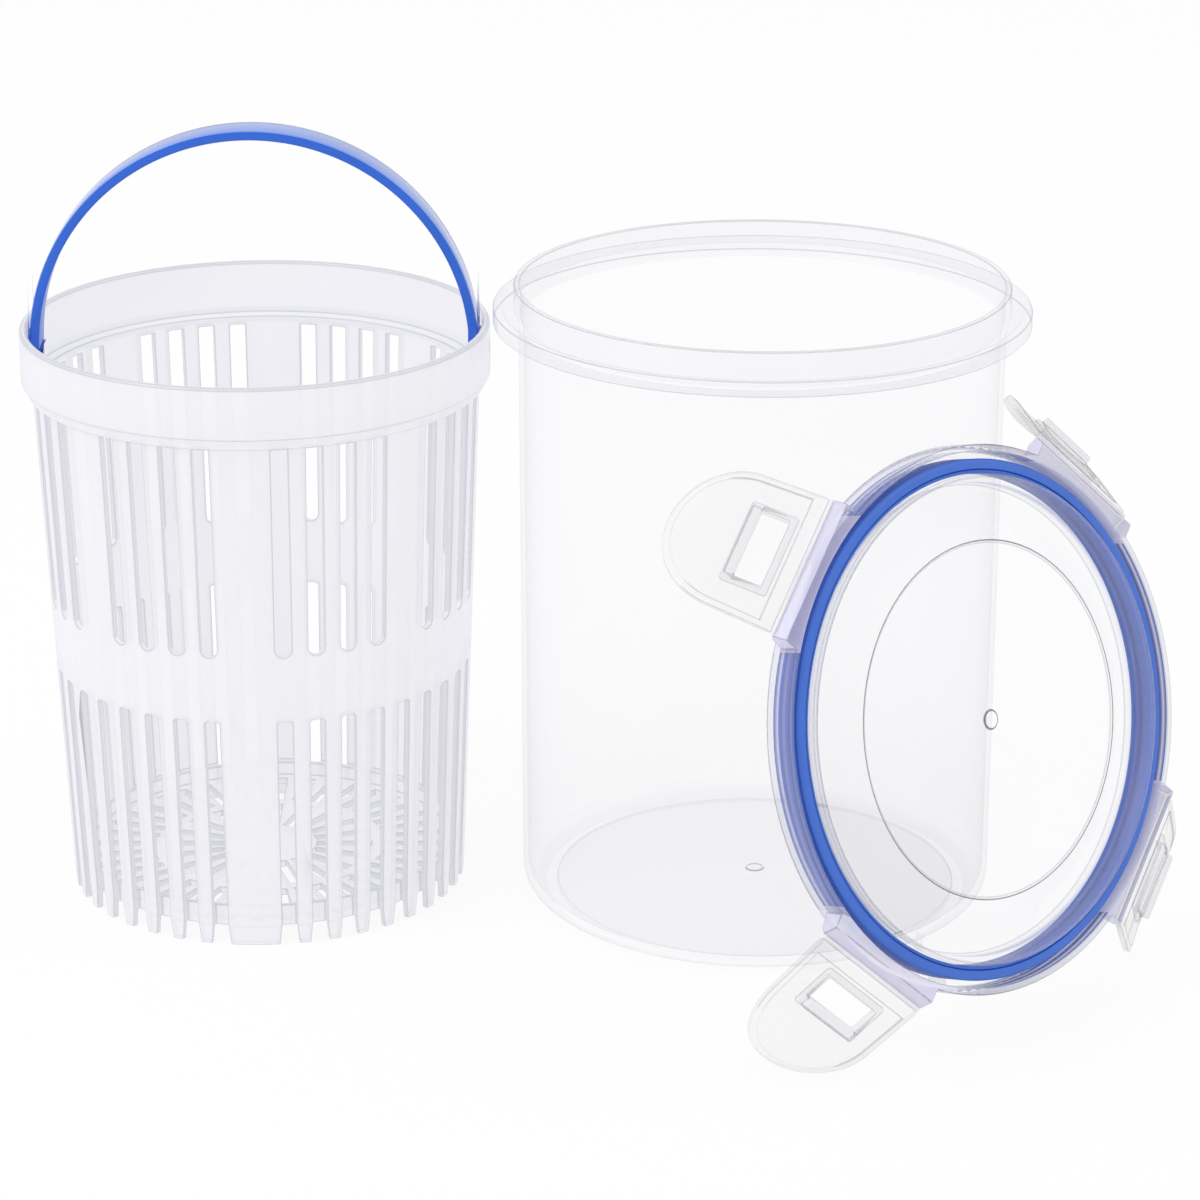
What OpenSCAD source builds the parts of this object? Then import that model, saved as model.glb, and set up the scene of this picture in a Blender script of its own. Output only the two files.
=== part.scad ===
// Pickle keeper with a lift strainer.
// A clear canister with a flanged neck, a slotted strainer basket that lifts out on
// a folding bail, and a clip-on lid whose four latches hang on thin hinge webs.
// Millimetres, +Z up. The origin is the centre of the canister's base on the table.
// The basket stands to the left of the canister. The lid stands on its two lower
// latches, inner face to the front, and leans its upper right latch on the canister.

/* [Canister] */
// Height from the table to the rim of the neck
can_h = 157.2; // [140:0.1:180]
// Outer radius of the body just under the flange
can_r = 59.3; // [50:0.1:70]
// How much narrower the body is at the foot than under the flange
can_draft = 0.4; // [0.1:0.1:2]
// Wall thickness of the body
can_wall = 1.2; // [1:0.1:2]
// Thickness of the base
can_floor = 1.5; // [1:0.1:3]
// Radius of the rounded corner between the base and the wall
can_corner = 6; // [4:0.5:10]
// Depth of the recess under the base, inside the foot ring
can_recess = 1.2; // [0.6:0.1:2]
// Width of the foot ring's flat face
can_foot_w = 2.7; // [1.5:0.1:5]

/* [Neck and flange] */
// How far the neck stands out past the body
neck_step = 1.1; // [0.5:0.1:2]
// Height of the neck above the flange
neck_h = 5.5; // [4:0.1:9]
// Wall thickness of the neck
neck_wall = 1.5; // [1.2:0.1:2]
// Depth of the wider band inside the neck
neck_band = 8; // [6:0.5:12]
// How far the flange reaches past the neck
flange_reach = 5.1; // [4.5:0.1:7]
// Thickness of the flange
flange_t = 3.8; // [3:0.1:5]
// Depth of the gutter in the top of the flange
gutter_d = 0.8; // [0.4:0.1:1.5]

/* [Basket] */
// Height of the basket from its foot to the collar's rim
basket_h = 145.2; // [130:0.1:150]
// Clearance all round between the collar and the inside of the canister
basket_gap = 0.5; // [0.3:0.1:1.5]
// Height of the collar
collar_h = 12.9; // [12:0.1:18]
// Wall thickness of the collar
collar_wall = 2; // [1.6:0.1:2.4]
// Step from the collar in to the ledge under it
ledge_in = 1.3; // [1:0.1:1.6]
// Height of that ledge
ledge_h = 2.7; // [2.4:0.1:4]
// Step from the ledge in to the top of the slotted wall
wall_step = 1.4; // [1:0.1:3]
// How much narrower the slotted wall is at the foot than at the ledge
wall_taper = 5.3; // [3:0.1:8]
// Wall thickness of the slotted wall
basket_wall = 1.7; // [1.4:0.1:2.4]
// Height of the floor's underside above the foot
floor_lift = 4.3; // [4:0.1:8]
// Thickness of the floor
floor_t = 1.8; // [1.4:0.1:3]
// Height of the curb that stands on the floor inside the wall
curb_h = 3.7; // [2:0.1:6]
// Thickness of that curb
curb_t = 1.6; // [1.2:0.1:2.4]

/* [Slots] */
// Slots in each quarter of the wall, between the plain panels
slots_a_quarter = 9; // [7:2:11]
// Angle from one slot to the next
slot_angle = 8.8; // [6:0.1:8.8]
// Width of an upper slot
upper_slot_w = 4; // [2.5:0.1:4.4]
// Height of the round lower end of the upper slots
upper_slot_z = 76.3; // [70:0.1:100]
// Width of a lower slot
lower_slot_w = 3.6; // [2.5:0.1:4]
// Height of the top of the lower slots
lower_slot_z = 59.4; // [40:0.1:66]
// How much wider a lower slot is where it opens through the foot
notch_flare = 0.8; // [0:0.1:2]
// Width of the slots in the floor
floor_slot_w = 2.5; // [1.5:0.1:3.5]
// Slots in the inner ring of the floor
inner_slots = 20; // [12:4:24]
// Radius where the inner ring of slots begins
inner_slot_from = 12; // [10:0.5:16]
// Radius where it ends
inner_slot_to = 26; // [20:0.5:27]
// Radius where the outer ring of slots begins
outer_slot_from = 29.5; // [28:0.5:34]
// Width of the plain floor between the outer ring of slots and the curb
floor_margin = 2.5; // [1.5:0.1:6]

/* [Bail] */
// Width of the bail's strip
bail_w = 10; // [8:0.5:11]
// Thickness of the bail's strip
bail_t = 2.4; // [2:0.1:3]
// Clearance between the bail and the inside of the collar
bail_gap = 0.6; // [0.5:0.1:1]
// Depth of the pivots below the collar's rim
pivot_drop = 6.3; // [6:0.1:7]
// Radius of the studs that turn in the collar
stud_r = 2.2; // [1.5:0.1:3]
// Running clearance round a stud
stud_play = 0.06; // [0.03:0.01:0.1]

/* [Lid] */
// Clearance between the canister's neck and the lid's skirt
skirt_gap = 1.8; // [1.2:0.1:2.5]
// Wall thickness of the skirt
skirt_wall = 1.6; // [1.4:0.1:2]
// Depth of the groove that holds the gasket
groove_d = 6.4; // [5:0.1:8]
// How far the skirt reaches past the gasket's face
skirt_lip = 0.6; // [0.2:0.1:1.5]
// Thickness of the lid's web and panel
lid_t = 1.2; // [1:0.1:1.6]
// Clearance between the plug wall and the inside of the neck
plug_gap = 1.9; // [1:0.1:2.5]
// Wall thickness of the plug wall
plug_wall = 1.4; // [1.2:0.1:1.8]
// How far the plug wall reaches past the gasket's face
plug_lip = 1.8; // [1:0.1:3]
// Radius of the sunken panel
panel_r = 42.1; // [36:0.1:44]
// Height of the panel's inner face over the gasket's face
panel_rise = 1.2; // [0:0.1:3]
// Width of the sloping wall round the panel
panel_slope = 9.5; // [8:0.1:10]
// Width of the gasket
gasket_w = 3.4; // [2.5:0.1:4]

/* [Latches] */
// Width of a latch at its hinge
latch_w = 35; // [28:0.5:38]
// Length of a latch from its hinge to its round end
latch_l = 32.4; // [28:0.1:36]
// Thickness of a latch
latch_t = 1.6; // [1.4:0.1:2]
// Radius of the round end
latch_end_r = 17; // [14:0.1:17.4]
// Radius of the curve that bends the round end outward
flare_r = 40; // [25:0.5:80]
// Clearance between the flange and a closed latch
latch_gap = 0.5; // [0.3:0.1:1.5]
// Height of the hinge line over the gasket's face
hinge_drop = 2.4; // [2:0.1:3.5]
// Radius of the hinge web
web_r = 0.45; // [0.4:0.05:0.5]
// Clearance of the hinge web from the tab and from the latch
web_gap = 0.05; // [0.03:0.01:0.1]
// Play between a closed latch's catch and the underside of the flange
catch_play = 1.6; // [0.5:0.1:2]
// Height of a latch's window
window_h = 6.8; // [5:0.1:8]
// Width of a latch's window
window_w = 17; // [12:0.5:20]
// How far the catch stands out from the latch's inner face
catch_out = 2.4; // [1.5:0.1:3]

/* [Where the pieces stand] */
// Gap between the basket's collar and the canister's flange
basket_stand_gap = 0.9; // [0.5:0.1:20]
// How far behind the canister's axis the basket's axis is
basket_back = 8; // [0:0.5:20]
// Turn of the lid about the vertical
lid_turn = 42.8; // [30:0.1:60]
// Lean of the lid back from upright
lid_lean = 14.9; // [10:0.1:25]
// Bearing of the lid from the canister's axis
lid_bearing = -57.5; // [-70:0.1:-45]
// How far the latches are open: upper right, upper left, lower left, lower right
latch_open = [142, 135, 128, 122];
// Gap left where the lid leans on the canister and stands on the table
touch_gap = 0.3; // [0.2:0.05:0.5]

/* [Hidden] */

// One quarter turn: the basket's panels and the lid's latches come four to a turn
quarter = 90;
// Where the first latch is, seen from the lid's inner face
first_latch = 45;
// Small edge break on rims
edge = 0.5;
// How far cutting shapes run past what they cut
past = 2;
// Facets of a turned shape, and steps of a rounded corner
turned = 144;
corner_steps = 8;

neck_r = can_r + neck_step;
neck_bore = neck_r - neck_wall;
flange_r = neck_r + flange_reach;
flange_top = can_h - neck_h;
flange_low = flange_top - flange_t;
can_foot_r = can_r - can_draft;
can_bore = can_r - can_wall;
can_foot_bore = can_foot_r - can_wall;
can_bed = can_recess + can_floor;

collar_r = can_bore - basket_gap;
collar_bore = collar_r - collar_wall;
collar_low = basket_h - collar_h;
ledge_r = collar_r - ledge_in;
ledge_low = collar_low - ledge_h;
ledge_top = ledge_low + basket_wall;
wall_top_r = ledge_r - wall_step;
wall_foot_r = wall_top_r - wall_taper;
floor_top = floor_lift + floor_t;
curb_top = floor_top + curb_h;
notch_top = floor_lift + 0.6 * floor_t;
basket_at = [-(flange_r + collar_r + basket_stand_gap), basket_back, 0];

pivot_z = basket_h - pivot_drop;
bail_r = collar_bore - bail_gap;

plug_r = neck_bore - plug_gap;
skirt_r = neck_r + skirt_gap + skirt_wall;
gasket_r = plug_r + web_gap;
hinge_r = flange_r + latch_gap + latch_t / 2;
root_gap = web_r + web_gap;
tab_w = latch_w + 2 * edge;

catch_at = hinge_drop + neck_h + flange_t + catch_play;
window_low = catch_at - window_h;
end_at = latch_l - latch_end_r;
root_t = 0.6;
shelf_in = 1.7;
taper_l = 1.1;
frame_w = 1.6;
frame_h = 0.7;
catch_w = 2.2;
flare_from = catch_at + catch_w;
gate_r = 2.2;
gate_h = 0.3;

// The lid's own directions: across it, up it, and out of its inner face
lid_across = [cos(lid_turn), sin(lid_turn), 0];
lid_out = [sin(lid_turn) * cos(lid_lean), -cos(lid_turn) * cos(lid_lean), sin(lid_lean)];
lid_up = cross(lid_out, lid_across);

function latch_angle(i) = first_latch + i * quarter;
function spoke(i) = cos(latch_angle(i)) * lid_across + sin(latch_angle(i)) * lid_up;
function along(i) = cos(latch_angle(i)) * lid_up - sin(latch_angle(i)) * lid_across;
function latch_dir(i) = cos(latch_open[i]) * lid_out + sin(latch_open[i]) * spoke(i);
function latch_face(i) = cos(latch_open[i]) * spoke(i) - sin(latch_open[i]) * lid_out;

// How far the flare has bent a latch outward at a distance from its hinge
function flare(t) = t > flare_from ? flare_r - sqrt(flare_r * flare_r - pow(t - flare_from, 2)) : 0;

// Points all over a latch's round end, on both faces, measured from the centre of the lid
function end_points(i) = [
    for (a = [0:5:90], v = [-1:0.5:1], face = [-latch_t / 2, latch_t / 2])
        let (t = end_at + latch_end_r * sin(a))
            hinge_r * spoke(i) - hinge_drop * lid_out + t * latch_dir(i)
                + v * latch_end_r * cos(a) * along(i) + (flare(t) + face) * latch_face(i)
];

// Points down both sides of a latch, from the hinge to the round end
function side_points(i) = [
    for (t = [0:4], v = [-0.5, 0.5])
        hinge_r * spoke(i) - hinge_drop * lid_out + t / 4 * end_at * latch_dir(i) + v * latch_w * along(i)
];

// Radius of the canister's outside at a height
function can_out(z) = z > flange_top + touch_gap ? neck_r : z > flange_low - touch_gap ? flange_r : can_r;

// Height of the lid's centre that stands the lower latches on the table
lid_z = touch_gap - min([for (i = [2, 3], p = end_points(i)) p[2]]);

// Distance of the lid from the canister's axis that leans the upper right latch on the canister
function lid_spot(d) = d * [cos(lid_bearing), sin(lid_bearing), 0];
function tip_gap(d) = min([
    for (p = concat(end_points(0), side_points(0)))
        norm([p[0], p[1]] + d * [cos(lid_bearing), sin(lid_bearing)]) - can_out(p[2] + lid_z)
]);
function lean_out(d, tries) = tries == 0 ? d : lean_out(d + touch_gap - tip_gap(d), tries - 1);
lid_at = lid_spot(lean_out(can_r + latch_l, 12)) + [0, 0, lid_z];

// Points along a round corner, from one angle to another
function arc(c, r, from, to, steps = corner_steps) =
    [for (k = [0:steps]) let (a = from + (to - from) * k / steps) c + r * [cos(a), sin(a)]];

// Radius of the basket's outer wall at a height
function wall_r(z) = wall_foot_r + (wall_top_r - wall_foot_r) * z / ledge_low;

// Angles of the slots in one quarter, from the middle of the quarter
function slot_angles() = [for (k = [0:slots_a_quarter - 1]) (k - (slots_a_quarter - 1) / 2) * slot_angle];

// Places the children, drawn about the Z axis, where the lid leans
module lid_pose() {
    translate(lid_at) rotate([90 - lid_lean, 0, lid_turn]) children();
}

// Places the children, drawn closed with the hinge at the origin, as latch i hangs
module latch_pose(i) {
    lid_pose()
        rotate([0, 0, latch_angle(i)])
            translate([hinge_r, 0, -hinge_drop])
                rotate([0, latch_open[i], 0])
                    children();
}

// Half section of the canister, from the floor out, up the wall and back down inside
module canister_section() {
    foot_out = can_foot_r - can_corner;
    foot_in = foot_out - can_foot_w;
    inner_corner = can_corner - can_wall;
    polygon(concat(
        [[0, can_recess], [foot_in - edge / 2, can_recess], [foot_in, can_recess - edge / 2], [foot_in, 0]],
        arc([foot_out, can_corner], can_corner, -90, 0),
        [[can_r, flange_low], [flange_r - edge, flange_low], [flange_r, flange_low + edge],
            [flange_r, flange_top - edge], [flange_r - edge, flange_top],
            [flange_r - past, flange_top], [flange_r - past - gutter_d, flange_top - gutter_d],
            [neck_r + gutter_d / 2, flange_top - gutter_d], [neck_r, flange_top - gutter_d / 2],
            [neck_r, can_h - edge], [neck_r - edge, can_h], [neck_bore + edge, can_h],
            [neck_bore, can_h - edge], [neck_bore, can_h - neck_band],
            [can_bore, can_h - neck_band - (neck_bore - can_bore)]],
        arc([can_foot_bore - inner_corner, can_bed + inner_corner], inner_corner, 0, -90),
        [[0, can_bed]]
    ));
}

// The clear canister
module canister() {
    color("lavender") {
        rotate_extrude($fn = turned) canister_section();
        translate([0, 0, can_bed - gate_h]) cylinder(r = gate_r, h = 2 * gate_h, $fn = turned);
    }
}

// Half section of the basket: foot, tapered wall, ledge, collar, curb and floor
module basket_section() {
    wall_in = basket_wall;
    curb_in = wall_r(floor_top) - wall_in - curb_t;
    polygon([
        [wall_foot_r, 0], [wall_top_r, ledge_low], [ledge_r - edge / 2, ledge_low],
        [ledge_r, ledge_low + edge], [ledge_r, collar_low], [collar_r, collar_low],
        [collar_r, basket_h - edge], [collar_r - edge, basket_h],
        [collar_bore + edge, basket_h], [collar_bore, basket_h - edge],
        [collar_bore, ledge_top + edge], [wall_top_r - wall_in, ledge_top],
        [wall_r(curb_top) - wall_in, curb_top], [curb_in + edge / 2, curb_top],
        [curb_in, curb_top - edge / 2], [curb_in, floor_top], [0, floor_top], [0, floor_lift],
        [wall_r(floor_lift) - wall_in, floor_lift], [wall_foot_r - wall_in, 0]
    ]);
}

// Outline of an upper slot, standing up: square under the ledge, round at the bottom
module upper_slot_outline() {
    half = upper_slot_w / 2;
    polygon(concat(
        [[half, ledge_low - edge], [-half, ledge_low - edge]],
        arc([0, upper_slot_z + half], half, 180, 360)
    ));
}

// Outline of a lower slot, standing up: blunt at the top, flared where it leaves the foot
module lower_slot_outline() {
    half = lower_slot_w / 2;
    polygon([
        [half - edge, lower_slot_z], [-half + edge, lower_slot_z], [-half, lower_slot_z - edge],
        [-half, notch_top], [-half - notch_flare, -past], [half + notch_flare, -past],
        [half, notch_top], [half, lower_slot_z - edge]
    ]);
}

// Cuts its child, an outline, outward through the wall from a radius, at an angle
module wall_cut(angle, from) {
    rotate([0, 0, angle])
        translate([from, 0, 0])
            rotate([90, 0, 90])
                linear_extrude(collar_r - from) children();
}

// One slot in the basket's floor, along a spoke from one radius to another
module floor_slot(angle, from, to) {
    rotate([0, 0, angle])
        translate([from, -floor_slot_w / 2, floor_lift - past])
            cube([to - from, floor_slot_w, floor_t + 2 * past]);
}

// The slots in the basket's floor: an inner ring, and an outer one that keeps step with the wall
module floor_cuts() {
    outer_to = wall_r(floor_top) - basket_wall - curb_t - floor_margin;
    for (k = [0:inner_slots - 1])
        floor_slot(360 * k / inner_slots, inner_slot_from, inner_slot_to);
    for (q = [0:3], a = concat(slot_angles(), [quarter / 2]))
        floor_slot(first_latch + q * quarter + a, outer_slot_from, outer_to);
}

// The strainer basket, one moulding
module strainer_basket() {
    middle = (slots_a_quarter - 1) / 2;
    angles = slot_angles();
    from = wall_foot_r - basket_wall - edge / 2;
    color("whitesmoke") translate(basket_at) difference() {
        difference() {
            rotate_extrude($fn = turned) basket_section();
            for (q = [0:3], a = angles)
                wall_cut(first_latch + q * quarter + a, from) lower_slot_outline();
        }
        for (q = [0:3], k = [0:slots_a_quarter - 1])
            if (k != middle) wall_cut(first_latch + q * quarter + angles[k], from) upper_slot_outline();
        floor_cuts();
        translate([0, 0, pivot_z])
            rotate([0, 90, 0])
                cylinder(r = stud_r + stud_play, h = 2 * collar_r + past, center = true, $fn = turned);
    }
}

// The folding bail: a half ring of flat strip, round ends and two studs
module bail_handle() {
    half = bail_w / 2;
    inner = bail_r - bail_t;
    color("royalblue") translate(basket_at + [0, 0, pivot_z]) {
        rotate([90, 0, 0])
            rotate_extrude(angle = 180, $fn = turned)
                polygon([
                    [inner, -half + edge], [inner + edge, -half], [bail_r - edge, -half],
                    [bail_r, -half + edge], [bail_r, half - edge], [bail_r - edge, half],
                    [inner + edge, half], [inner, half - edge]
                ]);
        for (side = [-1, 1])
            rotate([0, side * 90, 0]) {
                translate([0, 0, inner]) cylinder(r = half, h = bail_t, $fn = turned);
                translate([0, 0, inner]) cylinder(r = stud_r, h = collar_r - inner, $fn = turned);
            }
    }
}

// Half section of the lid about its axis, with the gasket's face at height 0
module lid_section() {
    plug_in = plug_r - plug_wall;
    skirt_in = skirt_r - skirt_wall;
    root_r = panel_r + panel_slope;
    back = -groove_d - lid_t;
    polygon([
        [0, panel_rise], [panel_r - 2 * edge, panel_rise], [panel_r - edge, panel_rise + edge],
        [panel_r, panel_rise], [root_r, -groove_d], [plug_in - 2 * edge, -groove_d],
        [plug_in, plug_lip - edge], [plug_in + edge, plug_lip], [plug_r - edge, plug_lip],
        [plug_r, plug_lip - edge], [plug_r, -groove_d], [skirt_in, -groove_d],
        [skirt_in, skirt_lip], [skirt_r, skirt_lip], [skirt_r, back + 2 * edge],
        [skirt_r - 2 * edge, back], [root_r - edge, back],
        [panel_r - edge, panel_rise - lid_t], [0, panel_rise - lid_t]
    ]);
}

// The tab that carries a latch: a block on the skirt, drawn down to a thin edge
module lid_tab() {
    tip = hinge_r - root_gap;
    shelf = tip - shelf_in;
    rotate([90, 0, 0])
        linear_extrude(tab_w, center = true)
            polygon([
                [skirt_r - 2 * past, skirt_lip], [shelf, skirt_lip],
                [tip, -hinge_drop + root_t / 2], [tip, -hinge_drop - root_t / 2],
                [shelf, -hinge_drop - 2 * edge - root_t], [skirt_r - 2 * past, -hinge_drop - past]
            ]);
}

// The lid's moulding, without its latches
module lid() {
    color("ghostwhite") lid_pose() {
        rotate_extrude($fn = turned) lid_section();
        difference() {
            for (i = [0:3]) rotate([0, 0, latch_angle(i)]) lid_tab();
            cylinder(r = skirt_r - skirt_wall / 2, h = 4 * groove_d, center = true, $fn = turned);
        }
        translate([0, 0, panel_rise - gate_h]) cylinder(r = gate_r, h = 2 * gate_h, $fn = turned);
    }
}

// The soft sealing ring in the lid's groove
module gasket() {
    color("cornflowerblue") lid_pose()
        rotate_extrude($fn = turned)
            polygon([
                [gasket_r, -groove_d], [gasket_r + gasket_w, -groove_d],
                [gasket_r + gasket_w, -2 * edge], [gasket_r + gasket_w - edge, 0],
                [gasket_r + edge, 0], [gasket_r, -2 * edge]
            ]);
}

// Outline of a latch: straight at the hinge, drawn in a little, with a round end
module latch_outline() {
    polygon(concat(
        [[-latch_w / 2, root_gap], [latch_w / 2, root_gap]],
        arc([0, end_at], latch_end_r, 0, 180, 3 * corner_steps)
    ));
}

// Section of a latch along its middle: thin at the hinge, straight, then flared outward
module latch_section() {
    half = latch_t / 2;
    sweep = asin((latch_l + edge - flare_from) / (flare_r - half));
    turn_at = [flare_r, flare_from];
    polygon(concat(
        [[root_t / 2, root_gap], [half, root_gap + taper_l]],
        arc(turn_at, flare_r - half, 180, 180 - sweep),
        arc(turn_at, flare_r + half, 180 - sweep, 180),
        [[-half, root_gap + taper_l], [-root_t / 2, root_gap]]
    ));
}

// A latch as it hangs closed: hinge at the origin, inner face towards -X
module latch(i) {
    half = latch_t / 2;
    color("ghostwhite") latch_pose(i) difference() {
        union() {
            intersection() {
                rotate([90, 0, 90]) linear_extrude(latch_l, center = true) latch_outline();
                rotate([90, 0, 0]) linear_extrude(latch_w + past, center = true) latch_section();
            }
            translate([-half - frame_h, -window_w / 2 - frame_w, window_low - frame_w])
                cube([frame_h + half, window_w + 2 * frame_w, window_h + frame_w + catch_w]);
            translate([-half - catch_out, -window_w / 2, catch_at])
                cube([catch_out + half, window_w, catch_w]);
        }
        translate([-half - frame_h - past, -window_w / 2, window_low])
            cube([latch_t + frame_h + 2 * past, window_w, window_h]);
    }
}

// The thin web that joins a latch to its tab, as a slim rod on the hinge line
module hinge_web(i) {
    color("white") latch_pose(i)
        rotate([90, 0, 0]) cylinder(r = web_r, h = latch_w, center = true, $fn = 32);
}

canister();
strainer_basket();
bail_handle();
lid();
gasket();
latch(0);  // latch_upper_right
latch(1);  // latch_upper_left
latch(2);  // latch_lower_left
latch(3);  // latch_lower_right
hinge_web(0);  // hinge_web_upper_right
hinge_web(1);  // hinge_web_upper_left
hinge_web(2);  // hinge_web_lower_left
hinge_web(3);  // hinge_web_lower_right
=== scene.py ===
import math

import bpy
from bpy.props import FloatProperty, FloatVectorProperty, IntProperty, PointerProperty
from mathutils import Euler, Matrix, Vector


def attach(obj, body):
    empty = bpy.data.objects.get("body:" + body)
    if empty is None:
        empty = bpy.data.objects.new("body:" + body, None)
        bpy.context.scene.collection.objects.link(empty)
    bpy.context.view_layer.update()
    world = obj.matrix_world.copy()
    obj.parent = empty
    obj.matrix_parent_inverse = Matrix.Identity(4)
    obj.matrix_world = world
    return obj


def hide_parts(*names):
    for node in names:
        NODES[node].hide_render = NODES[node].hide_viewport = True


bl_info = {
    "name": "Pickle keeper with lift strainer",
    "version": (1, 0, 0),
    "blender": (4, 5, 0),
    "location": "3D View > Sidebar > Keeper",
    "description": "A clear canister, its slotted basket on a folding bail, and its latched lid",
    "category": "Object",
}

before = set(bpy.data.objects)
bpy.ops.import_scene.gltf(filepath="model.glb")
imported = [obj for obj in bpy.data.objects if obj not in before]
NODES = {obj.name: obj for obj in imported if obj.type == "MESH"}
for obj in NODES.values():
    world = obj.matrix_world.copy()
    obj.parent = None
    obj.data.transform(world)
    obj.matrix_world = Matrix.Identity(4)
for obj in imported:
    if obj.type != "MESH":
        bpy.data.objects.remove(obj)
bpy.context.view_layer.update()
MM = 0.001

# the photographed layout: angles in degrees, LID_AT in millimetres
LATCHES = ("upper_right", "upper_left", "lower_left", "lower_right")
LATCH_OPEN = (142, 135, 128, 122)
FIRST_LATCH = 45
LID_AT = (50.1712, -78.7529, 74.2579)
LID_TURN, LID_LEAN = 42.8, 14.9
BASKET_AT = Vector((-124, 8, 0)) * MM
PIVOT_Z = 138.9 * MM

# the camera: its place in metres, its tilt down in radians, its lens and sensor in millimetres
CAMERA_AT = (-0.0394, -0.9790, 0.4282)
CAMERA_TILT = 0.346
CAMERA_LENS, CAMERA_SENSOR = 125.3, 36.0

# each light's name, place in metres, power in watts and width in metres
LIGHTS = (("window light", (-1.6, -0.9, 2.0), 22.0, 1.6), ("fill light", (1.9, -0.3, 1.5), 8.0, 1.4))
ROOM_LIGHT = 0.8
FLOOR_AT, FLOOR_SIZE = (0, 1.5, 0), 9.0

# how much of the floor the camera sees as plain white; the rest shows the shadows
WHITE_SHARE = 0.85

# the blocks that shape a latch reach past it on both sides
CUT_DEEP, CUT_WIDE = 60 * MM, 50 * MM


# ---------------------------------------------------------------- sizes and colours

def length(name, description, millimetres):
    return FloatProperty(
        name=name, description=description, default=millimetres * MM, unit="LENGTH", precision=4)


def colour(name, description, value):
    return FloatVectorProperty(
        name=name, description=description, default=value, size=3, min=0, max=1, subtype="COLOR")


def share(name, description, value):
    return FloatProperty(name=name, description=description, default=value, min=0, max=1, subtype="FACTOR")


class KeeperSizes(bpy.types.PropertyGroup):
    """Sizes of the keeper's pieces"""
    can_h: length("Canister height", "From the table to the rim of the neck", 157.2)
    can_r: length("Body radius", "Outside of the body under the flange", 59.3)
    can_draft: length("Body draft", "How much narrower the body is at its foot", 0.4)
    can_wall: length("Body wall", "Wall thickness of the body", 1.2)
    can_floor: length("Base thickness", "Thickness of the canister's base", 1.5)
    can_corner: length("Base corner", "Radius between the base and the wall", 6)
    can_recess: length("Base recess", "Depth of the recess inside the foot ring", 1.2)
    can_foot: length("Foot ring", "Width of the foot ring's flat face", 2.7)
    neck_step: length("Neck step", "How far the neck stands out past the body", 1.1)
    neck_h: length("Neck height", "Height of the neck above the flange", 5.5)
    neck_wall: length("Neck wall", "Wall thickness of the neck", 1.5)
    neck_band: length("Neck band", "Depth of the wider band inside the neck", 8)
    flange_reach: length("Flange reach", "How far the flange stands out past the neck", 5.1)
    flange_t: length("Flange thickness", "Thickness of the flange", 3.8)
    gutter_d: length("Gutter", "Depth of the gutter in the top of the flange", 0.8)
    gate_r: length("Gate mark", "Radius of the moulding's gate mark", 2.2)
    bail_r: length("Bail radius", "Outside of the bail's half ring", 55)
    bail_w: length("Bail width", "Width of the bail's strip", 10)
    bail_t: length("Bail thickness", "Thickness of the bail's strip", 2.4)
    stud_r: length("Stud radius", "Radius of the bail's studs", 2.2)
    stud_reach: length("Stud reach", "From the middle of the bail to a stud's end", 57.6)
    seal_r: length("Seal radius", "Inside of the sealing ring", 57.05)
    seal_w: length("Seal width", "Width of the sealing ring", 3.4)
    seal_h: length("Seal height", "Height of the sealing ring", 6.4)
    hinge_r: length("Hinge radius", "From the lid's axis to a hinge line", 66.8)
    hinge_drop: length("Hinge drop", "Hinge line behind the seal's face", 2.4)
    latch_w: length("Latch width", "Width of a latch at its hinge", 35)
    latch_l: length("Latch length", "From the hinge line to the round end", 32.4)
    latch_t: length("Latch thickness", "Thickness of a latch", 1.6)
    latch_end_r: length("Latch end", "Radius of a latch's round end", 17)
    latch_root: length("Latch root", "From the hinge line to the latch's thin edge", 0.5)
    flare_r: length("Flare", "Radius that bends the round end outward", 40)
    catch_at: length("Catch", "From the hinge line to the catch", 13.3)
    catch_w: length("Catch width", "Width of the catch along the latch", 2.2)
    catch_out: length("Catch reach", "How far the catch stands out", 2.4)
    window_h: length("Window height", "Height of a latch's window", 6.8)
    window_w: length("Window width", "Width of a latch's window", 17)
    window_frame: length("Window frame", "Width of the raised frame round the window", 1.6)
    frame_h: length("Frame height", "How far the window's frame stands out", 0.7)
    lip_w: length("Lip width", "Width of the raised lip round a latch", 1.7)
    lip_h: length("Lip height", "Height of that lip", 0.35)
    round_edge: length("Rounded edges", "Radius worn onto moulded edges", 0.3)
    round_lid: length("Rounded lid edges", "Radius worn onto the lid's edges", 0.25)
    steps: IntProperty(
        name="Steps a turn", description="Steps in a full turn of a round piece", default=192, min=24)


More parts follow.
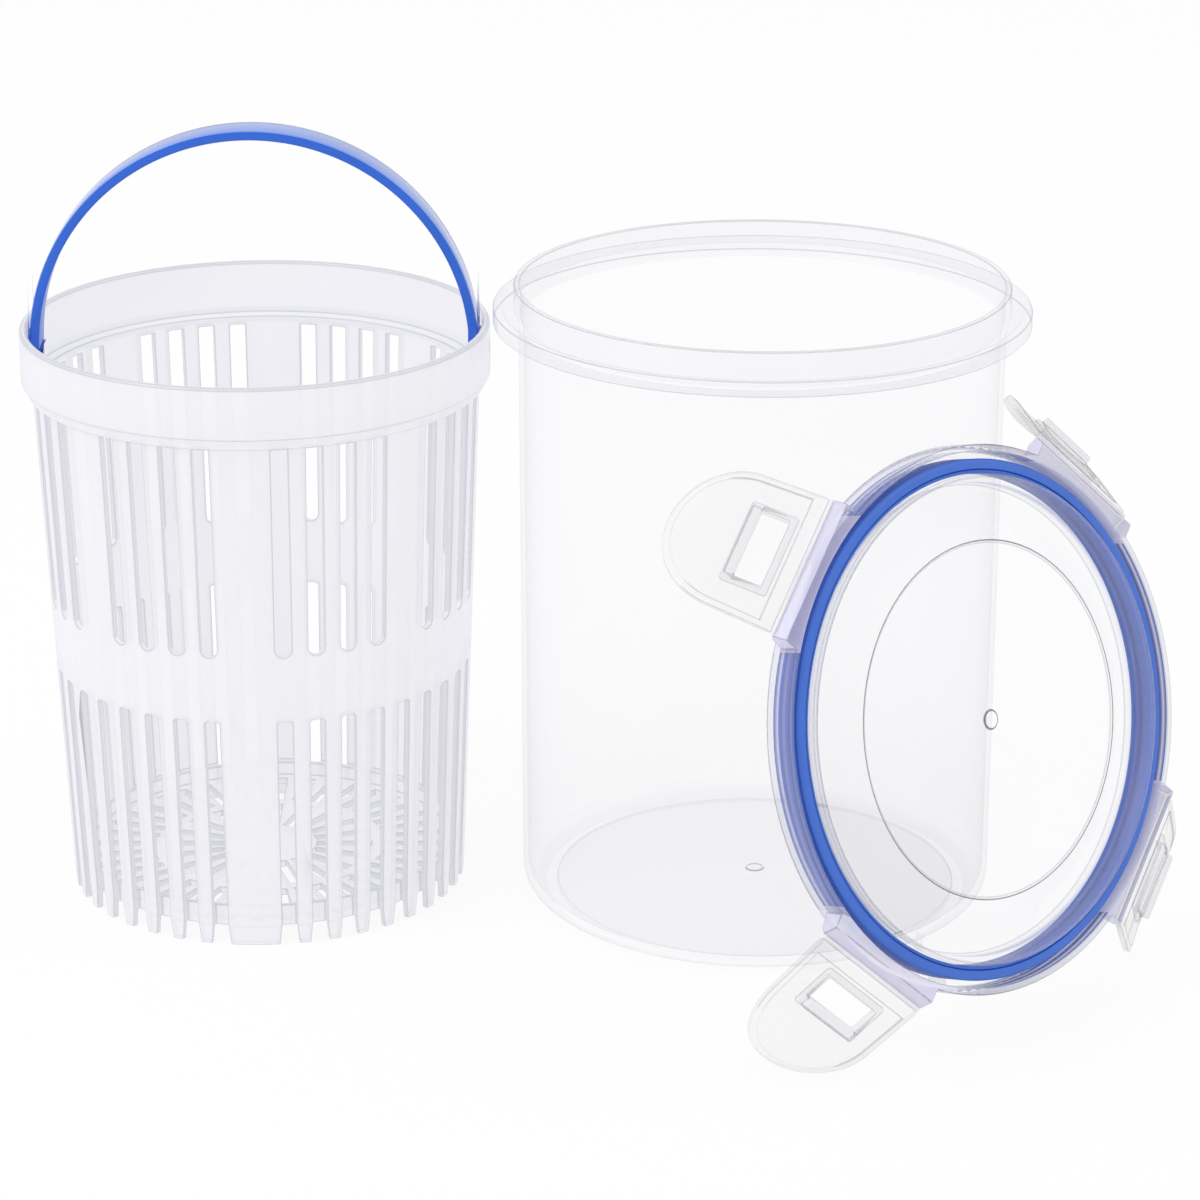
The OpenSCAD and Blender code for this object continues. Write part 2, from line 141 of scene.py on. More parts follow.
class KeeperColours(bpy.types.PropertyGroup):
    """Colours and finishes of the keeper's pieces"""
    clear: colour("Clear", "Clear plastic seen face on", (0.80, 0.80, 0.89))
    clear_edge: colour("Clear edge", "Clear plastic seen edge on", (0.28, 0.28, 0.36))
    thick: colour(
        "Thick clear", "Clear plastic where it is thick, as round the lid's rim", (0.50, 0.49, 0.72))
    glow: colour("Glow", "Clear plastic lit by the blue seal beside it", (0.075, 0.15, 0.52))
    milky: colour("Milky", "Milky plastic of the basket", (0.395, 0.395, 0.405))
    milky_shade: colour("Milky shade", "Milky plastic in its thicker places", (0.375, 0.375, 0.395))
    bail: colour("Bail", "Blue of the bail", (0.001, 0.095, 0.56))
    # painted light: the outer face's lighter blue paints in the light that face catches from above
    bail_painted_light: colour(
        "Bail outside", "Blue of the bail's outer face, which catches the light", (0.13, 0.24, 0.67))
    seal: colour("Seal", "Blue of the sealing ring", (0.030, 0.125, 0.54))
    paper: colour("Paper", "Floor under the pieces", (0.93, 0.93, 0.93))
    gloss: share("Gloss roughness", "Roughness of the clear plastic", 0.06)
    satin: share("Satin roughness", "Roughness of the milky plastic", 0.32)


# ---------------------------------------------------------------- shader words

class Wire:
    """A shader socket that is added, multiplied and raised like a number."""

    def __init__(self, finish, socket):
        self.finish, self.socket = finish, socket

    def _math(self, operation, *values):
        return self.finish.node("ShaderNodeMath", {"operation": operation}, dict(enumerate(values)))

    def __add__(self, other):
        return self._math("ADD", self, other)

    def __radd__(self, other):
        return self._math("ADD", other, self)

    def __sub__(self, other):
        return self._math("SUBTRACT", self, other)

    def __rsub__(self, other):
        return self._math("SUBTRACT", other, self)

    def __mul__(self, other):
        return self._math("MULTIPLY", self, other)

    def __rmul__(self, other):
        return self._math("MULTIPLY", other, self)

    def __pow__(self, other):
        return self._math("POWER", self, other)

    def sine(self):
        return self._math("SINE", self)


class Finish:
    """A material in the making: its nodes, and the words that add more."""

    def __init__(self, name):
        self.material = bpy.data.materials.new(name)
        self.material.use_nodes = True
        self.tree = self.material.node_tree
        self.tree.nodes.clear()

    def node(self, kind, settings=None, inputs=None, out=0):
        """Adds a node, sets it, fills or links its sockets, and gives one of its outputs."""
        made = self.tree.nodes.new(kind)
        for key, value in (settings or {}).items():
            setattr(made, key, value)
        for key, value in (inputs or {}).items():
            if isinstance(value, Wire):
                self.tree.links.new(value.socket, made.inputs[key])
            else:
                made.inputs[key].default_value = value
        return Wire(self, made.outputs[out]) if made.outputs else None

    def where(self):
        return self.node("ShaderNodeTexCoord", out="Object")

    def noise(self, scale, detail=2.0):
        return self.node("ShaderNodeTexNoise", {}, {"Vector": self.where(), "Scale": scale, "Detail": detail})

    def blend(self, factor, low, high):
        """Goes from one colour to another; the low one may be a wire."""
        low = low if isinstance(low, Wire) else rgba(low)
        return self.node("ShaderNodeMix", {"data_type": "RGBA"},
                         {"Factor": factor, 6: low, 7: rgba(high)}, out=2)

    def bump(self, height, strength, distance):
        settings = {"Strength": strength, "Distance": distance, "Height": height}
        return self.node("ShaderNodeBump", {}, settings, out="Normal")

    def facing(self, power):
        return self.node("ShaderNodeLayerWeight", {}, {"Blend": 0.5}, out="Facing") ** power

    def along(self, origin, direction):
        """Distance along a direction from an origin."""
        moved = self.node("ShaderNodeVectorMath", {"operation": "SUBTRACT"}, {0: self.where(), 1: origin})
        return self.node("ShaderNodeVectorMath", {"operation": "DOT_PRODUCT"},
                         {0: moved, 1: direction}, out=1)

    def surface(self, wire):
        self.node("ShaderNodeOutputMaterial", {}, {"Surface": wire})
        return self.material


def rgba(value):
    return (value[0], value[1], value[2], 1.0)


def clear_plastic(name, face_on, edge_on, roughness, veil, haze=0.05, line=0.3, thin=9.0):
    """Clear moulded plastic: a faint veil face on, a little haze turning away, and a grey line edge on."""
    f = Finish(name)
    outline = f.facing(thin)
    ripple = f.noise(38.0)
    return f.surface(f.node("ShaderNodeBsdfPrincipled", {}, {
        "Base Color": f.blend(outline, face_on, edge_on),
        "Roughness": roughness,
        "IOR": 1.5,
        "Alpha": f.facing(2.0) * haze + outline * line + (ripple * 0.4 + 0.8) * veil,
        "Normal": f.bump(ripple, 0.05, 0.001),
    }))


def milky_plastic(name, body, shade, edge_on, roughness, cover, within=1.28):
    """Milky moulded plastic: soft white that lets some of what is behind it through, greyer edge on.

    Light spreads inside the real plastic, so its shaded faces stay pale; the emission stands for that light.
    """
    f = Finish(name)
    cloud = f.noise(26.0, 3.0)
    grain = f.noise(950.0)
    outline = f.facing(4.0)
    tone = f.blend(outline * 0.8, f.blend(cloud, body, shade), edge_on)
    return f.surface(f.node("ShaderNodeBsdfPrincipled", {}, {
        "Base Color": tone,
        "Emission Color": tone,
        "Emission Strength": within,
        "Roughness": roughness,
        "Alpha": f.facing(2.0) * (1.0 - cover) + (cloud * 0.1 + (cover - 0.05)),
        "Normal": f.bump(grain, 0.05, 0.0004),
    }))


def glowing_plastic(name, blue, pale, roughness, spacing, shift, sharp, least, most):
    """Clear plastic beside the seal, where bent light draws blue and pale bands along the wall."""
    f = Finish(name)
    toward = lid_place().to_3x3() @ Vector((0, 0, 1))
    depth = f.along(Vector(LID_AT) * MM, toward)
    bands = ((depth * (2 * math.pi / spacing) + shift).sine() * 0.5 + 0.5) ** sharp
    return f.surface(f.node("ShaderNodeBsdfPrincipled", {}, {
        "Base Color": f.blend(bands, pale, blue),
        "Roughness": roughness,
        "Alpha": bands * (most - least) + least,
        "Normal": f.bump(bands, 0.1, 0.0004),
    }))


def blue_plastic(name, body, roughness, coat):
    """Blue moulded plastic with a fine satin grain and slow swirls of the dye."""
    f = Finish(name)
    lighter = [min(1.0, c * 1.25 + 0.01) for c in body]
    cloud = f.noise(40.0)
    grain = f.noise(1200.0)
    return f.surface(f.node("ShaderNodeBsdfPrincipled", {}, {
        "Base Color": f.blend(cloud, body, lighter),
        "Roughness": roughness,
        "Coat Weight": coat,
        "Coat Roughness": 0.15,
        "Normal": f.bump(grain, 0.06, 0.0003),
    }))


def dress(piece, *materials):
    """Gives a piece its materials; every face starts with the first of them."""
    piece.data.materials.clear()
    for material in materials:
        piece.data.materials.append(material)


# ---------------------------------------------------------------- modelling words

def deselect():
    if bpy.context.object and bpy.context.object.mode != "OBJECT":
        bpy.ops.object.mode_set(mode="OBJECT")
    bpy.ops.object.select_all(action="DESELECT")


def pick(piece):
    deselect()
    piece.select_set(True)
    bpy.context.view_layer.objects.active = piece


def draw(name, points, closed=True):
    """A chain of edges, drawn by pulling one vertex out again and again; leaves edit mode on."""
    points = [Vector(p) for p in points]
    deselect()
    bpy.ops.mesh.primitive_plane_add(size=MM, location=(0, 0, 0))
    piece = bpy.context.object
    piece.name = name
    bpy.ops.object.mode_set(mode="EDIT")
    bpy.ops.mesh.select_mode(type="VERT")
    bpy.ops.mesh.merge(type="CENTER")
    bpy.ops.transform.translate(value=points[0])
    for a, b in zip(points, points[1:] + points[:1] * closed):
        bpy.ops.mesh.extrude_region_move(TRANSFORM_OT_translate={"value": b - a})
    bpy.ops.mesh.select_all(action="SELECT")
    bpy.ops.mesh.remove_doubles(threshold=1e-6)
    return piece


def tidy_mesh(piece):
    """Joins what meets, turns the faces outward and goes back to object mode."""
    bpy.ops.mesh.select_all(action="SELECT")
    bpy.ops.mesh.remove_doubles(threshold=1e-6)
    bpy.ops.mesh.normals_make_consistent(inside=False)
    bpy.ops.object.mode_set(mode="OBJECT")
    return piece


def turn(name, section, steps, closed=True, angle=2 * math.pi, axis=(0, 0, 1)):
    """A round piece spun from its half section."""
    piece = draw(name, section, closed)
    bpy.ops.mesh.spin(steps=steps, angle=angle, center=(0, 0, 0), axis=axis)
    return tidy_mesh(piece)


def prism(name, outline, push):
    """A block pushed out from a flat outline."""
    piece = draw(name, outline)
    bpy.ops.mesh.edge_face_add()
    bpy.ops.mesh.extrude_region_move(TRANSFORM_OT_translate={"value": push})
    return tidy_mesh(piece)


def block(name, low, high, soften):
    """A box between two corners, its edges rounded."""
    low, high = Vector(low), Vector(high)
    deselect()
    bpy.ops.mesh.primitive_cube_add(size=1, location=(low + high) / 2, scale=high - low)
    bpy.ops.object.transform_apply(location=True, rotation=True, scale=True)
    piece = bpy.context.object
    piece.name = name
    round_edges(piece, soften, 3)
    return piece


def apply_all(piece):
    pick(piece)
    for modifier in list(piece.modifiers):
        bpy.ops.object.modifier_apply(modifier=modifier.name)
    if piece.modifiers:
        raise RuntimeError(f"a modifier of {piece.name} did not apply")


def round_edges(piece, width, segments=2, sharper_than=35, crease=-1):
    """Rounds the sharp edges; the strips this makes take the material slot numbered crease."""
    made = piece.modifiers.new("rounded edges", "BEVEL")
    made.material = crease
    made.width, made.segments = width, segments
    made.limit_method, made.angle_limit = "ANGLE", math.radians(sharper_than)
    made.use_clamp_overlap = False
    made.loop_slide = False  # sliding drew long slivers across the floor's slots
    apply_all(piece)


def combine(piece, tool, operation):
    """Joins to, cuts from or keeps within a piece, and takes the tool away."""
    made = piece.modifiers.new(operation.lower(), "BOOLEAN")
    made.operation, made.solver, made.object = operation, "EXACT", tool
    apply_all(piece)
    bpy.data.objects.remove(tool)
    if not piece.data.polygons:
        raise RuntimeError(f"nothing is left of {piece.name}")


def softened_copy(name, node, width, segments, materials):
    """A copy of a CAD node's mesh, joined up, with its edges rounded in the last of its materials."""
    piece = bpy.data.objects.new(name, NODES[node].data.copy())
    bpy.context.scene.collection.objects.link(piece)
    pick(piece)
    bpy.ops.object.mode_set(mode="EDIT")
    bpy.ops.mesh.select_all(action="SELECT")
    bpy.ops.mesh.remove_doubles(threshold=1e-5)
    bpy.ops.mesh.dissolve_limited(angle_limit=math.radians(0.3))
    bpy.ops.object.mode_set(mode="OBJECT")
    dress(piece, *materials)
    round_edges(piece, width, segments, 40, len(materials) - 1)
    return piece


def sort_faces(piece, choose, creased=lambda face: True):
    """Gives each face the slot number that choose returns; rounded edges keep the last slot where creased."""
    crease = len(piece.data.materials) - 1
    for face in piece.data.polygons:
        if face.material_index != crease or not creased(face):
            face.material_index = choose(face)


def set_down(piece, matrix):
    """Moves a piece to its place, and puts the place into its mesh."""
    pick(piece)
    piece.matrix_world = matrix
    bpy.ops.object.transform_apply(location=True, rotation=True, scale=True)


def hand_over(piece, body, nodes, smooth=32):
    """Smooths a piece and says what it rides on and stands for."""
    pick(piece)
    bpy.ops.object.shade_smooth_by_angle(angle=math.radians(smooth))
    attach(piece, body)
    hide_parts(*nodes)


def arc(centre, radius, start, end, steps=8):
    """Points along an arc between two angles in degrees."""
    turns = [math.radians(start + (end - start) * k / steps) for k in range(steps + 1)]
    return [(centre[0] + radius * math.cos(a), centre[1] + radius * math.sin(a)) for a in turns]


def lid_place():
    """From the lid's own axes to where it leans on the canister."""
    return (Matrix.Translation(Vector(LID_AT) * MM) @ Matrix.Rotation(math.radians(LID_TURN), 4, "Z")
            @ Matrix.Rotation(math.radians(90 - LID_LEAN), 4, "X"))


def latch_place(index, sizes):
    """From a latch's own axes to its hinge line on the lid, at its photographed opening."""
    return (lid_place() @ Matrix.Rotation(math.radians(FIRST_LATCH + 90 * index), 4, "Z")
            @ Matrix.Translation((sizes.hinge_r, 0, -sizes.hinge_drop))
            @ Matrix.Rotation(math.radians(LATCH_OPEN[index]), 4, "Y"))


# ---------------------------------------------------------------- the pieces

class KEEPER_OT_stage(bpy.types.Operator):
    """Lays the floor, lights the room and sets the camera"""
    bl_idname = "keeper.stage"
    bl_label = "Stage"

    def execute(self, context):
        colours = context.scene.keeper_colours
        deselect()
        bpy.ops.mesh.primitive_plane_add(size=FLOOR_SIZE, location=FLOOR_AT)
        floor = context.object
        floor.name = "floor"
        f = Finish("floor paper")
        camera_ray, glossy_ray, clear_ray = (
            f.node("ShaderNodeLightPath", out=f"Is {kind} Ray")
            for kind in ("Camera", "Glossy", "Transmission"))
        seen = camera_ray + glossy_ray + clear_ray
        paper = f.node("ShaderNodeBsdfDiffuse", {}, {"Color": rgba(colours.paper)})
        white = f.node("ShaderNodeEmission", {}, {"Color": (1, 1, 1, 1), "Strength": 1.0})
        mixed = f.node("ShaderNodeMixShader", {}, {0: seen * WHITE_SHARE, 1: paper, 2: white})
        dress(floor, f.surface(mixed))

        world = bpy.data.worlds.new("soft room")
        context.scene.world = world
        world.use_nodes = True
        sky = world.node_tree.nodes["Background"]
        sky.inputs["Color"].default_value = (1, 1, 1, 1)
        sky.inputs["Strength"].default_value = ROOM_LIGHT
        for name, at, energy, wide in LIGHTS:
            lamp = bpy.data.lights.new(name, "AREA")
            lamp.energy, lamp.size = energy, wide
            holder = bpy.data.objects.new(name, lamp)
            context.scene.collection.objects.link(holder)
            holder.location = at
            holder.rotation_euler = (-Vector(at)).to_track_quat("-Z", "Y").to_euler()

        camera = bpy.data.cameras.new("camera")
        camera.lens, camera.sensor_width = CAMERA_LENS, CAMERA_SENSOR
        camera.clip_start, camera.clip_end = 0.05, 30.0
        holder = bpy.data.objects.new("camera", camera)
        context.scene.collection.objects.link(holder)
        holder.location = CAMERA_AT
        holder.rotation_euler = Euler((math.pi / 2 - CAMERA_TILT, 0, 0))
        context.scene.camera = holder
        context.scene.view_settings.view_transform = "Standard"
        return {"FINISHED"}


class KEEPER_OT_canister(bpy.types.Operator):
    """Turns the clear canister: foot ring, body, flange with its gutter, and neck"""
    bl_idname = "keeper.canister"
    bl_label = "Canister"

    def execute(self, context):
        s, colours = context.scene.keeper_sizes, context.scene.keeper_colours
        edge, gate, flange_flat = 0.5 * MM, 0.3 * MM, 2 * MM
        neck_r = s.can_r + s.neck_step
        neck_bore, bore = neck_r - s.neck_wall, s.can_r - s.can_wall
        flange_r, flange_top = neck_r + s.flange_reach, s.can_h - s.neck_h
        foot_r, bed = s.can_r - s.can_draft, s.can_recess + s.can_floor
        foot_in, inner = foot_r - s.can_corner - s.can_foot, s.can_corner - s.can_wall
        gutter_floor = flange_top - s.gutter_d
        section = [(0, s.can_recess), (foot_in - edge / 2, s.can_recess),
                   (foot_in, s.can_recess - edge / 2), (foot_in, 0)]
        section += arc((foot_r - s.can_corner, s.can_corner), s.can_corner, -90, 0)
        section += [
            (s.can_r, flange_top - s.flange_t), (flange_r, flange_top - s.flange_t), (flange_r, flange_top),
            (flange_r - flange_flat, flange_top), (flange_r - flange_flat - s.gutter_d, gutter_floor),
            (neck_r, gutter_floor), (neck_r, s.can_h), (neck_bore, s.can_h),
            (neck_bore, s.can_h - s.neck_band), (bore, s.can_h - s.neck_band - (neck_bore - bore)),
        ]
        section += arc((foot_r - s.can_wall - inner, bed + inner), inner, 0, -90)
        section += [(s.gate_r, bed), (s.gate_r, bed + gate), (0, bed + gate)]
        piece = turn("clear_canister", [(r, 0, z) for r, z in section], s.steps, closed=False)
        body, neck, base, crease = range(4)
        gloss, edge_on = colours.gloss, colours.clear_edge
        # the last finish, greyer and denser, is painted shade: a dark line along the rounded rim, the
        # flange's edge and the gate mark
        dress(piece,
              clear_plastic("clear canister", colours.clear, edge_on, gloss, 0.03, 0.05, 0.42),
              clear_plastic("clear neck", colours.clear, edge_on, gloss, 0.13, 0.08, 0.6),
              clear_plastic("clear base", (0.68, 0.65, 0.82), edge_on, gloss, 0.045, 0.08, 0.6),
              clear_plastic("clear canister painted shade line", (0.38, 0.38, 0.44), edge_on, gloss, 0.42, 0.1, 0.4))
        round_edges(piece, s.round_edge, 3, 30, crease)

        def on_gate(face):
            return face.center.xy.length < s.gate_r + gate

        def part_of(face):
            if face.center.z > flange_top - s.flange_t - edge / 2 or on_gate(face):
                return neck
            return base if face.center.z < bed + edge else body

        # rounded strips that keep that painted shade line
        def creased(face):
            return face.center.xy.length > flange_r - MM or face.center.z > s.can_h - MM or on_gate(face)

        sort_faces(piece, part_of, creased)
        hand_over(piece, "canister", ["canister"])
        return {"FINISHED"}


class KEEPER_OT_basket(bpy.types.Operator):
    """Rounds every slot, tooth and rib of the milky strainer basket"""
    bl_idname = "keeper.basket"
    bl_label = "Basket"

    def execute(self, context):
        s, colours = context.scene.keeper_sizes, context.scene.keeper_colours
        satin, grey = colours.satin, (0.22, 0.22, 0.25)
        # the slot walls and the rounded edges take greyer copies of the milky plastic: painted shade, drawing
        # grey lines round every slot
        piece = softened_copy("milky_basket", "strainer_basket", s.round_edge, 2, (
            milky_plastic("milky wall", colours.milky, colours.milky_shade, grey, satin, 0.66),
            milky_plastic("milky slot wall painted shade", (0.33, 0.33, 0.35), (0.31, 0.31, 0.335), grey, satin, 0.75),
            milky_plastic("milky crease painted shade", (0.29, 0.29, 0.315), (0.27, 0.27, 0.295), (0.20, 0.20, 0.23),
                          satin, 0.8)))
        wall, cut = range(2)

        # faces that stand across the wall, the sides of the slots, take the painted shade
        def part_of(face):
            out = (face.center - BASKET_AT).xy.normalized()
            return cut if abs(face.normal.z) < 0.5 and abs(face.normal.xy.dot(out)) < 0.4 else wall

        sort_faces(piece, part_of)
        hand_over(piece, "strainer", ["strainer_basket"])
        return {"FINISHED"}


class KEEPER_OT_bail(bpy.types.Operator):
    """Spins the bail's strip over the basket and gives it its round ends and studs"""
    bl_idname = "keeper.bail"
    bl_label = "Bail"

    def execute(self, context):
        s, colours = context.scene.keeper_sizes, context.scene.keeper_colours
        inner, half, middle = s.bail_r - s.bail_t, s.bail_w / 2, BASKET_AT + Vector((0, 0, PIVOT_Z))
        ends = [(s.bail_r, -half), (s.bail_r, half), (inner, half), (inner, -half)]
        piece = turn("blue_bail", [(r, y, 0) for r, y in ends], s.steps // 2, angle=math.pi, axis=(0, 1, 0))
        pick(piece)
        bpy.ops.object.mode_set(mode="EDIT")
        bpy.ops.mesh.select_mode(type="EDGE")
        bpy.ops.mesh.select_all(action="DESELECT")
        bpy.ops.mesh.select_non_manifold()
        bpy.ops.mesh.fill_holes(sides=4)
        tidy_mesh(piece)
        for side in (-1, 1):
            # the strip's round end, then its stud
            for radius, reach in ((half, s.bail_r), (s.stud_r, s.stud_reach)):
                deselect()
                bpy.ops.mesh.primitive_cylinder_add(
                    vertices=64, radius=radius, depth=reach - inner,
                    location=(side * (inner + reach) / 2, 0, 0), rotation=(0, math.pi / 2, 0))
                bpy.ops.object.transform_apply(location=True, rotation=True, scale=True)
                combine(piece, context.object, "UNION")
        round_edges(piece, 0.45 * MM, 3, 40)
        set_down(piece, Matrix.Translation(middle))
        # the second finish is the bail's blue painted lighter and glossier on the faces turned outward:
        # painted light
        dress(piece, blue_plastic("blue bail", colours.bail, 0.3, 0.12),
              blue_plastic("blue bail outside painted light", colours.bail_painted_light, 0.3, 0.8))
        sort_faces(piece, lambda face: int(face.normal.dot((face.center - middle).normalized()) > 0.7))
        hand_over(piece, "bail", ["bail_handle"])
        return {"FINISHED"}


class KEEPER_OT_lid(bpy.types.Operator):
    """Rounds the lid's moulding and parts its thick rim and the walls beside the seal from its clear panel"""
    bl_idname = "keeper.lid"
    bl_label = "Lid"

    def execute(self, context):
        s, colours = context.scene.keeper_sizes, context.scene.keeper_colours
        gloss, dark = colours.gloss, [c * 0.5 for c in colours.clear_edge]
        panel, rim, beside_seal, bead, plug, tab, rim_shade_line, crease = range(8)
        # the bead, the rim line and the crease are dark, dense finishes: painted shade lines on the bead, the
        # gate mark and the rounded edges
        piece = softened_copy("clear_lid", "lid", s.round_lid, 3, (
            clear_plastic("clear lid panel", colours.clear, colours.clear_edge, gloss, 0.03),
            clear_plastic("clear lid rim", colours.thick, dark, gloss, 0.2, 0.1, 0.8, 5.0),
            glowing_plastic("clear lid beside seal", colours.glow, (0.55, 0.57, 0.82), gloss,
                            spacing=2.1 * MM, shift=0.6, sharp=0.35, least=0.4, most=0.9),
            clear_plastic("clear lid bead painted shade", dark, dark, gloss, 0.75, 0.1, 0.2),
            glowing_plastic("clear plug wall", colours.glow, (0.67, 0.66, 0.82), gloss,
                            spacing=8.2 * MM, shift=4.3, sharp=5.0, least=0.14, most=0.5),
            clear_plastic("clear tab", (0.76, 0.74, 0.90), colours.thick, gloss, 0.72, 0.1, 0.4),
            clear_plastic("clear rim painted shade line", (0.16, 0.17, 0.30), dark, gloss, 0.45, 0.1, 0.2),
            clear_plastic("clear lid crease painted shade", (0.42, 0.41, 0.55), dark, gloss, 0.35, 0.1, 0.5)))
        home = lid_place().inverted()
        # millimetres out from the lid's axis, then along it; tab_half is degrees to each side of a latch
        plug_from, rim_from, skirt_from, tab_from, tab_half = 54.5, 57.3, 61, 63.95, 16.5
        seal_in, seal_out, bead_in, bead_out, gate_in, gate_out = 60.5, 62.5, 41, 42.2, 1.8, 2.4
        seal_top, bead_low, skirt_low = -0.2, 1.5, 7

        def part_of(face):
            """Sorts by the face's place in the lid: millimetres out from its axis and along it."""
            middle = home @ face.center
            out, rise = middle.xy.length / MM, middle.z / MM
            off = abs(math.degrees(math.atan2(middle.y, middle.x)) % 90 - FIRST_LATCH)
            if out > tab_from or out > skirt_from and (abs(rise) > skirt_low or off < tab_half):
                return tab
            if seal_in < out < seal_out and rise < seal_top:
                return beside_seal
            if out > plug_from:
                return rim if out > rim_from else plug
            raised = bead_in < out < bead_out and rise > bead_low or gate_in < out < gate_out
            return bead if raised else panel

        sort_faces(piece, part_of, lambda face: part_of(face) != bead)
        # rounded strips outside the seal turn to the darkest painted shade line
        for face in piece.data.polygons:
            outer = (home @ face.center).xy.length > seal_out * MM
            if outer and face.material_index == crease and part_of(face) in (panel, rim, beside_seal):
                face.material_index = rim_shade_line
        hand_over(piece, "lid", ["lid"])
        return {"FINISHED"}


class KEEPER_OT_seal(bpy.types.Operator):
    """Turns the blue sealing ring with its soft crown and the crease beside its inner edge"""
    bl_idname = "keeper.seal"
    bl_label = "Seal"

    def execute(self, context):
        s, colours = context.scene.keeper_sizes, context.scene.keeper_colours
        low, r, w = -s.seal_h, s.seal_r, s.seal_w
        crown, crease, ridge, dip = 0.45 * MM, 0.55 * MM, 0.12 * MM, 0.2 * MM
        section = [(r, low), (r + w, low), (r + w, -crown)]
        section += [(r + w * (1 - t), -crown * (2 * t - 1) ** 4) for t in (0.08, 0.2, 0.35, 0.5, 0.6, 0.68)]
        section += [(r + w * 0.27, -crease), (r + w * 0.2, -ridge), (r + w * 0.08, -dip), (r, -crown)]
        piece = turn("blue_seal", [(a, 0, z) for a, z in section], s.steps)
        set_down(piece, lid_place())
        dress(piece, blue_plastic("blue seal", colours.seal, 0.42, 0.0))
        hand_over(piece, "lid", ["gasket"], 50)
        return {"FINISHED"}


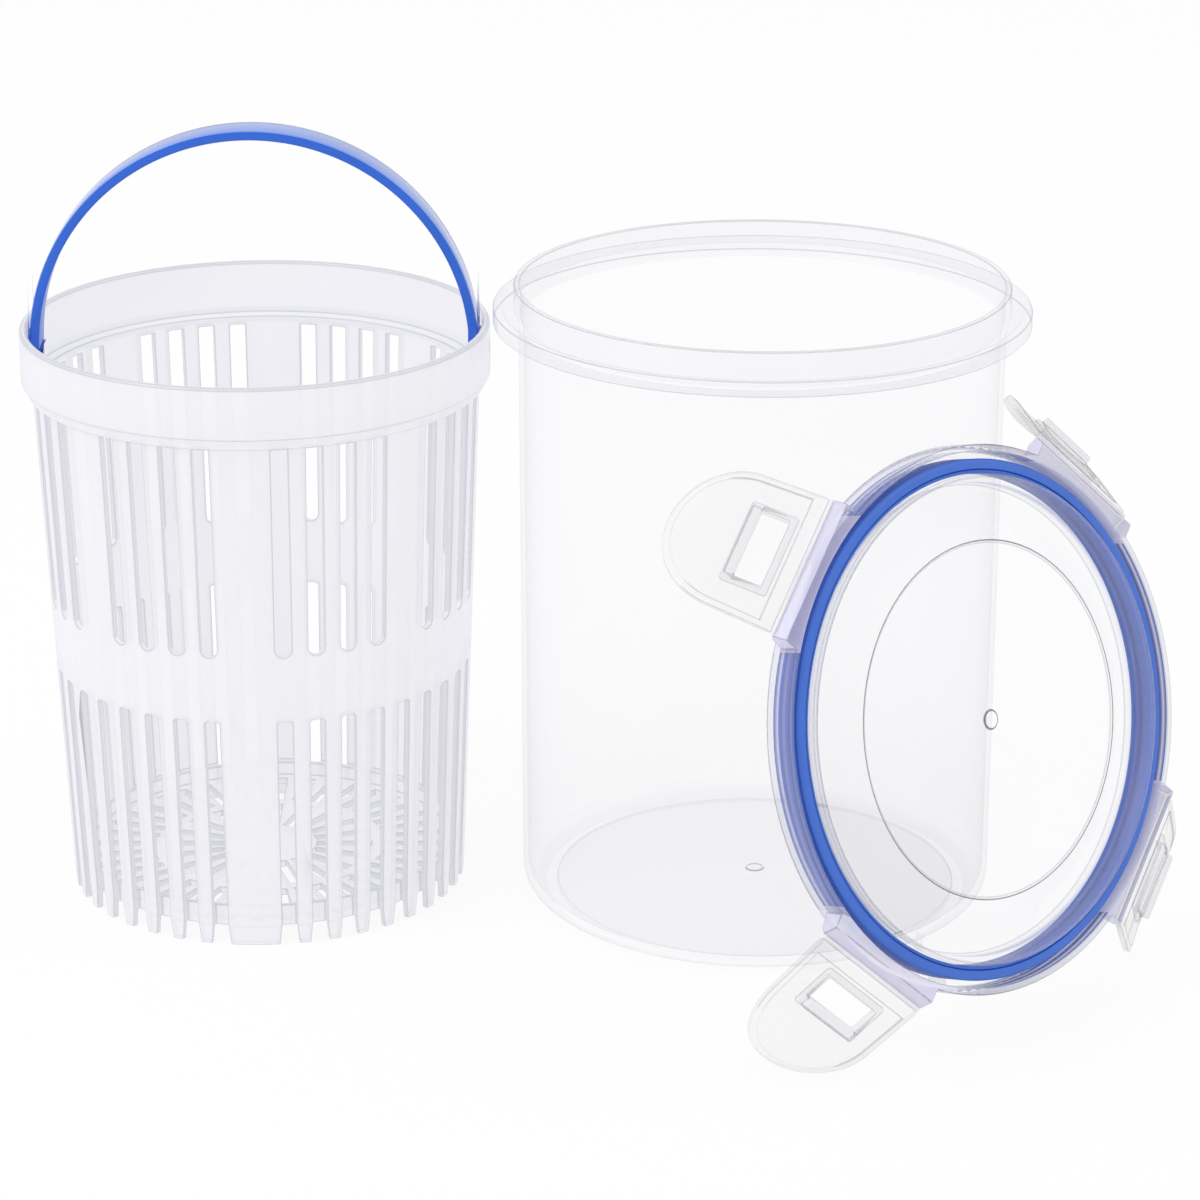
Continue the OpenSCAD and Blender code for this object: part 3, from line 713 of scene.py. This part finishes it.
class KEEPER_OT_latches(bpy.types.Operator):
    """Models one latch with its lip, window, frame and catch, and hangs a copy on each hinge"""
    bl_idname = "keeper.latches"
    bl_label = "Latches"

    def outline(self, s, inset):
        """Outline of the flap in its own plane, drawn in by an inset."""
        half, radius = s.latch_w / 2 - inset, s.latch_end_r - inset
        bottom = s.latch_root + (1.6 * MM + inset if inset else 0)
        points = [(-half, bottom), (half, bottom)] + arc((0, s.latch_l - s.latch_end_r), radius, 0, 180, 36)
        return [(-CUT_DEEP / 2, y, z) for y, z in points]

    def slab(self, name, s, low, high):
        """A sheet between two offsets from the flap's middle, straight and then flared."""
        start = s.catch_at + s.catch_w
        centre, sweep = (s.flare_r, start), 32
        points = [(low, -MM), (high, -MM)]
        points += arc(centre, s.flare_r - high, 180, 180 - sweep, 24)
        points += arc(centre, s.flare_r - low, 180 - sweep, 180, 24)
        return prism(name, [(x, -CUT_WIDE / 2, z) for x, z in points], (0, CUT_WIDE, 0))

    def execute(self, context):
        s = context.scene.keeper_sizes
        half, wide = s.latch_t / 2, s.window_w / 2
        top, bottom = s.catch_at, s.catch_at - s.window_h
        flap = prism("flap", self.outline(s, 0), (CUT_DEEP, 0, 0))
        combine(flap, self.slab("slab", s, -half, half), "INTERSECT")
        pocket = prism("pocket", self.outline(s, s.lip_w), (CUT_DEEP, 0, 0))
        combine(pocket, self.slab("hollow", s, -half - MM, -half + s.lip_h), "INTERSECT")
        combine(flap, pocket, "DIFFERENCE")
        w = s.window_frame
        raised_frame = block("frame", (-half - s.frame_h, -wide - w, bottom - w),
                             (half / 2, wide + w, top + s.catch_w + 0.4 * MM), 0.7 * MM)
        combine(flap, raised_frame, "UNION")
        catch = block("catch", (-half - s.catch_out, -wide, top), (half / 2, wide, top + s.catch_w), 0.4 * MM)
        combine(flap, catch, "UNION")
        cutter = block("window", (-10 * MM, -wide, bottom), (10 * MM, wide, top), 0.5 * MM)
        combine(flap, cutter, "DIFFERENCE")
        thin, taper = 0.3 * MM, 1.1 * MM
        for side in (1, -1):
            root = prism("root", [(side * x, -CUT_WIDE / 2, s.latch_root + z) for x, z in (
                (thin, -MM), (thin, 0), (half, taper), (3 * MM, taper), (3 * MM, -MM))], (0, CUT_WIDE, 0))
            combine(flap, root, "DIFFERENCE")
        sheet, edge, frame_face, crease = range(4)
        gloss, grey = 0.12, (0.30, 0.30, 0.34)
        # the flap's side faces and the rounded edges of its front take greyer finishes: painted shade lines
        # round the flap, window and frame
        dress(flap,
              clear_plastic("clear latch", (0.80, 0.80, 0.81), (0.35, 0.35, 0.38), gloss, 0.13, 0.05, 0.3),
              clear_plastic("clear latch edge painted shade", (0.60, 0.60, 0.63), grey, gloss, 0.2, 0.1, 0.3),
              clear_plastic("clear latch frame", (0.60, 0.59, 0.65), grey, gloss, 0.28, 0.05, 0.3),
              clear_plastic("clear latch crease painted shade", (0.40, 0.40, 0.44), grey, gloss, 0.45, 0.1, 0.3))
        round_edges(flap, 0.22 * MM, 2, 40, crease)

        def part_of(face):
            if abs(face.normal.x) < 0.6:
                return edge
            raised = face.center.x < -half - 0.2 * MM and face.center.z < s.catch_at + s.catch_w + MM
            return frame_face if raised else sheet

        sort_faces(flap, part_of, lambda face: face.center.x < 0)
        for index, corner in enumerate(LATCHES):
            piece = bpy.data.objects.new(f"clear_latch_{corner}", flap.data.copy())
            context.scene.collection.objects.link(piece)
            set_down(piece, latch_place(index, s))
            hand_over(piece, f"latch_{corner}_body", [f"latch_{corner}"])
        bpy.data.objects.remove(flap)
        return {"FINISHED"}


class KEEPER_OT_webs(bpy.types.Operator):
    """Finishes the thin hinge webs that the latches bend on"""
    bl_idname = "keeper.webs"
    bl_label = "Hinge webs"

    def execute(self, context):
        colours = context.scene.keeper_colours
        plastic = clear_plastic("clear web", (0.92, 0.92, 0.95), colours.clear_edge, 0.15, 0.5, 0.1, 0.3)
        for corner in LATCHES:
            dress(NODES[f"hinge_web_{corner}"], plastic)
        return {"FINISHED"}


class KEEPER_PT_panel(bpy.types.Panel):
    """Sizes, colours and pieces of the keeper"""
    bl_idname = "KEEPER_PT_panel"
    bl_label = "Pickle keeper"
    bl_space_type = "VIEW_3D"
    bl_region_type = "UI"
    bl_category = "Keeper"

    def draw(self, context):
        for operator in OPERATORS:
            self.layout.operator(operator.bl_idname)
        for group in (context.scene.keeper_colours, context.scene.keeper_sizes):
            column = self.layout.column(align=True)
            for name in type(group).__annotations__:
                column.prop(group, name)


OPERATORS = (KEEPER_OT_stage, KEEPER_OT_canister, KEEPER_OT_basket, KEEPER_OT_bail, KEEPER_OT_lid,
             KEEPER_OT_seal, KEEPER_OT_latches, KEEPER_OT_webs)
CLASSES = (KeeperSizes, KeeperColours, *OPERATORS, KEEPER_PT_panel)


def register():
    for cls in CLASSES:
        bpy.utils.register_class(cls)
    bpy.types.Scene.keeper_sizes = PointerProperty(type=KeeperSizes)
    bpy.types.Scene.keeper_colours = PointerProperty(type=KeeperColours)


def unregister():
    del bpy.types.Scene.keeper_colours
    del bpy.types.Scene.keeper_sizes
    for cls in reversed(CLASSES):
        bpy.utils.unregister_class(cls)


def main():
    register()
    bpy.ops.keeper.stage()
    bpy.ops.keeper.canister()
    bpy.ops.keeper.basket()
    bpy.ops.keeper.bail()
    bpy.ops.keeper.lid()
    bpy.ops.keeper.seal()
    bpy.ops.keeper.latches()
    bpy.ops.keeper.webs()


if __name__ == "__main__":
    main()
